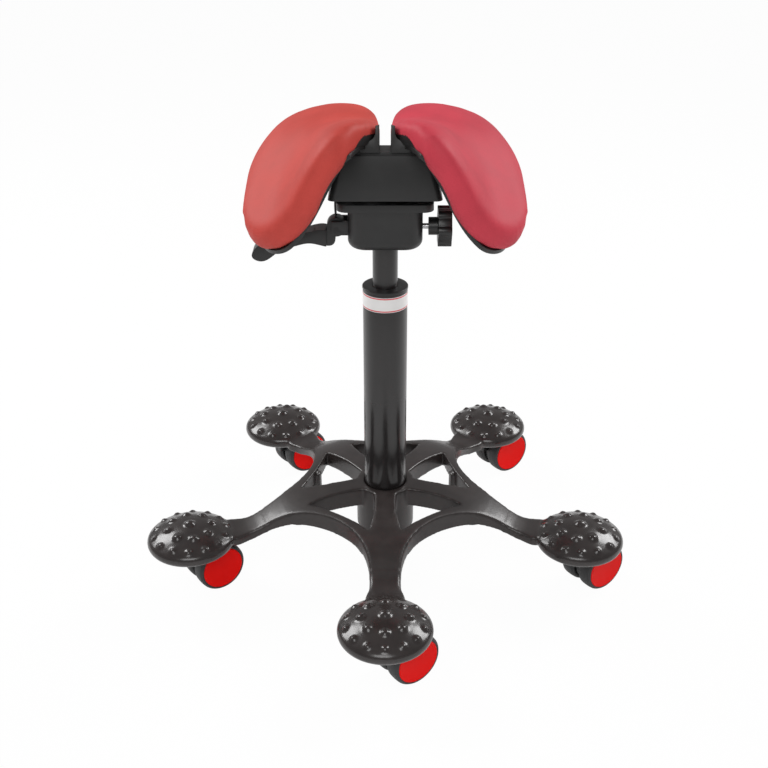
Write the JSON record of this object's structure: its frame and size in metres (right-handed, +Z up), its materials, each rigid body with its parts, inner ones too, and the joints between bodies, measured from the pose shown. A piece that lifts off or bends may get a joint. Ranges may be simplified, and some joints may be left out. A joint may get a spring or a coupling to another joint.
{
  "type": "saddle stool",
  "caption": "Height-adjustable saddle stool: split red leather saddle on a tilting head with height lever and clamp knob, gas column, star base with domed feet and twin-wheel castors",
  "frame": {"origin": "on the floor, on the axis of the column, between the castors", "axes": "+Z up, -Y the seat's front, +X to the right as seen from the front, millimetres in the source and metres in the record"},
  "size_m": [0.5656, 0.5364, 0.562],
  "materials": {
    "cast_metal": "die-cast aluminium, satin black-brown lacquer, glossier on the domes",
    "black_tube": "smooth satin black lacquer on steel",
    "black_plastic": "moulded black plastic, fine grain",
    "black_steel": "black powder coat",
    "steel": "turned steel",
    "white_band": "plain white film",
    "cable_cover": "black cable cover",
    "castor_plastic": "black nylon",
    "castor_tread": "black soft tread",
    "red_plastic": "glossy red plastic",
    "red_leather": "red leather, fine grain, soft sheen"
  },
  "bodies": {
    "base": {"base_casting": "cast_metal", "outer_tube": "black_tube", "guide_bush": "black_plastic", "column_band": "white_band"},
    "swivel": {"piston_rod": "steel", "thrust_bearing": "steel", "retaining_clip": "steel"},
    "head": {"gas_cylinder": "black_tube", "lower_housing": "black_plastic", "lever_and_rocker_pins": "steel", "lever_cable": "cable_cover", "pivot_pin": "steel"},
    "release": {"release_pin": "steel"},
    "rocker": {"release_rocker": "steel"},
    "lever": {"height_lever": "black_plastic"},
    "knob": {"tilt_knob": "black_plastic", "knob_spindle": "steel"},
    "seat": {"tilt_housing": "black_plastic", "seat_carrier": "black_steel", "carrier_screws": "steel", "pan_screws": "steel", "seat_pan_left": "black_plastic", "seat_pan_right": "black_plastic", "seat_pad_left": "red_leather", "seat_pad_right": "red_leather"},
    "castor_1": {"castor_1_stem": "steel", "castor_1_fork": "castor_plastic", "castor_1_axle": "steel"},
    "castor_1_near": {"castor_1_wheel_near": "castor_tread", "castor_1_cap_near": "red_plastic"},
    "castor_1_far": {"castor_1_wheel_far": "castor_tread", "castor_1_cap_far": "red_plastic"},
    "castor_2": {"castor_2_stem": "steel", "castor_2_fork": "castor_plastic", "castor_2_axle": "steel"},
    "castor_2_near": {"castor_2_wheel_near": "castor_tread", "castor_2_cap_near": "red_plastic"},
    "castor_2_far": {"castor_2_wheel_far": "castor_tread", "castor_2_cap_far": "red_plastic"},
    "castor_3": {"castor_3_stem": "steel", "castor_3_fork": "castor_plastic", "castor_3_axle": "steel"},
    "castor_3_near": {"castor_3_wheel_near": "castor_tread", "castor_3_cap_near": "red_plastic"},
    "castor_3_far": {"castor_3_wheel_far": "castor_tread", "castor_3_cap_far": "red_plastic"},
    "castor_4": {"castor_4_stem": "steel", "castor_4_fork": "castor_plastic", "castor_4_axle": "steel"},
    "castor_4_near": {"castor_4_wheel_near": "castor_tread", "castor_4_cap_near": "red_plastic"},
    "castor_4_far": {"castor_4_wheel_far": "castor_tread", "castor_4_cap_far": "red_plastic"},
    "castor_5": {"castor_5_stem": "steel", "castor_5_fork": "castor_plastic", "castor_5_axle": "steel"},
    "castor_5_near": {"castor_5_wheel_near": "castor_tread", "castor_5_cap_near": "red_plastic"},
    "castor_5_far": {"castor_5_wheel_far": "castor_tread", "castor_5_cap_far": "red_plastic"}
  },
  "joints": [
    {"name": "seat_swivel", "type": "hinge", "parent": "base", "child": "swivel", "pos_m": [0, 0, 0.06], "axis": [0, 0, 1], "continuous": true},
    {"name": "height_slide", "type": "slide", "parent": "swivel", "child": "head", "axis": [0, 0, 1], "range_m": [-0.045, 0.085]},
    {"name": "height_lever", "type": "hinge", "parent": "head", "child": "lever", "pos_m": [-0.053, 0, 0.432], "axis": [0, 1, 0], "range_deg": [0, 12], "stiffness_Nm_per_rad": 1.5},
    {"name": "release_rocker_hinge", "type": "hinge", "parent": "head", "child": "rocker", "pos_m": [0.016, 0, 0.4863], "axis": [0, -1, 0], "range_deg": [0, 8]},
    {"name": "release_pin_slide", "type": "slide", "parent": "head", "child": "release", "axis": [0, 0, -1], "range_m": [0, 0.003]},
    {"name": "seat_tilt", "type": "hinge", "parent": "head", "child": "seat", "pos_m": [0, 0.02, 0.486], "axis": [1, 0, 0], "range_deg": [-5, 5]},
    {"name": "tilt_knob_turn", "type": "hinge", "parent": "head", "child": "knob", "pos_m": [0.055, 0, 0.431], "axis": [1, 0, 0], "range_deg": [-180, 180]},
    {"name": "castor_1_swivel", "type": "hinge", "parent": "base", "child": "castor_1", "pos_m": [0, -0.24, 0.062], "axis": [0, 0, 1], "continuous": true},
    {"name": "castor_1_near_roll", "type": "hinge", "parent": "castor_1", "child": "castor_1_near", "pos_m": [0.02165, -0.22386, 0.03], "axis": [-0.5976, 0.8018, 0], "continuous": true},
    {"name": "castor_1_far_roll", "type": "hinge", "parent": "castor_1", "child": "castor_1_far", "pos_m": [0.02165, -0.22386, 0.03], "axis": [-0.5976, 0.8018, 0], "continuous": true},
    {"name": "castor_2_swivel", "type": "hinge", "parent": "base", "child": "castor_2", "pos_m": [0.22825, -0.07416, 0.062], "axis": [0, 0, 1], "continuous": true},
    {"name": "castor_2_near_roll", "type": "hinge", "parent": "castor_2", "child": "castor_2_near", "pos_m": [0.2499, -0.05803, 0.03], "axis": [-0.5976, 0.8018, 0], "continuous": true},
    {"name": "castor_2_far_roll", "type": "hinge", "parent": "castor_2", "child": "castor_2_far", "pos_m": [0.2499, -0.05803, 0.03], "axis": [-0.5976, 0.8018, 0], "continuous": true},
    {"name": "castor_3_swivel", "type": "hinge", "parent": "base", "child": "castor_3", "pos_m": [0.14107, 0.19416, 0.062], "axis": [0, 0, 1], "continuous": true},
    {"name": "castor_3_near_roll", "type": "hinge", "parent": "castor_3", "child": "castor_3_near", "pos_m": [0.16272, 0.2103, 0.03], "axis": [-0.5976, 0.8018, 0], "continuous": true},
    {"name": "castor_3_far_roll", "type": "hinge", "parent": "castor_3", "child": "castor_3_far", "pos_m": [0.16272, 0.2103, 0.03], "axis": [-0.5976, 0.8018, 0], "continuous": true},
    {"name": "castor_4_swivel", "type": "hinge", "parent": "base", "child": "castor_4", "pos_m": [-0.14107, 0.19416, 0.062], "axis": [0, 0, 1], "continuous": true},
    {"name": "castor_4_near_roll", "type": "hinge", "parent": "castor_4", "child": "castor_4_near", "pos_m": [-0.11942, 0.2103, 0.03], "axis": [-0.5976, 0.8018, 0], "continuous": true},
    {"name": "castor_4_far_roll", "type": "hinge", "parent": "castor_4", "child": "castor_4_far", "pos_m": [-0.11942, 0.2103, 0.03], "axis": [-0.5976, 0.8018, 0], "continuous": true},
    {"name": "castor_5_swivel", "type": "hinge", "parent": "base", "child": "castor_5", "pos_m": [-0.22825, -0.07416, 0.062], "axis": [0, 0, 1], "continuous": true},
    {"name": "castor_5_near_roll", "type": "hinge", "parent": "castor_5", "child": "castor_5_near", "pos_m": [-0.20661, -0.05803, 0.03], "axis": [-0.5976, 0.8018, 0], "continuous": true},
    {"name": "castor_5_far_roll", "type": "hinge", "parent": "castor_5", "child": "castor_5_far", "pos_m": [-0.20661, -0.05803, 0.03], "axis": [-0.5976, 0.8018, 0], "continuous": true}
  ],
  "couplings": [
    {"joint": "release_rocker_hinge", "follows": "height_lever", "ratio": 0.6666},
    {"joint": "release_pin_slide", "follows": "height_lever", "m_per_rad": 0.01432}
  ]
}
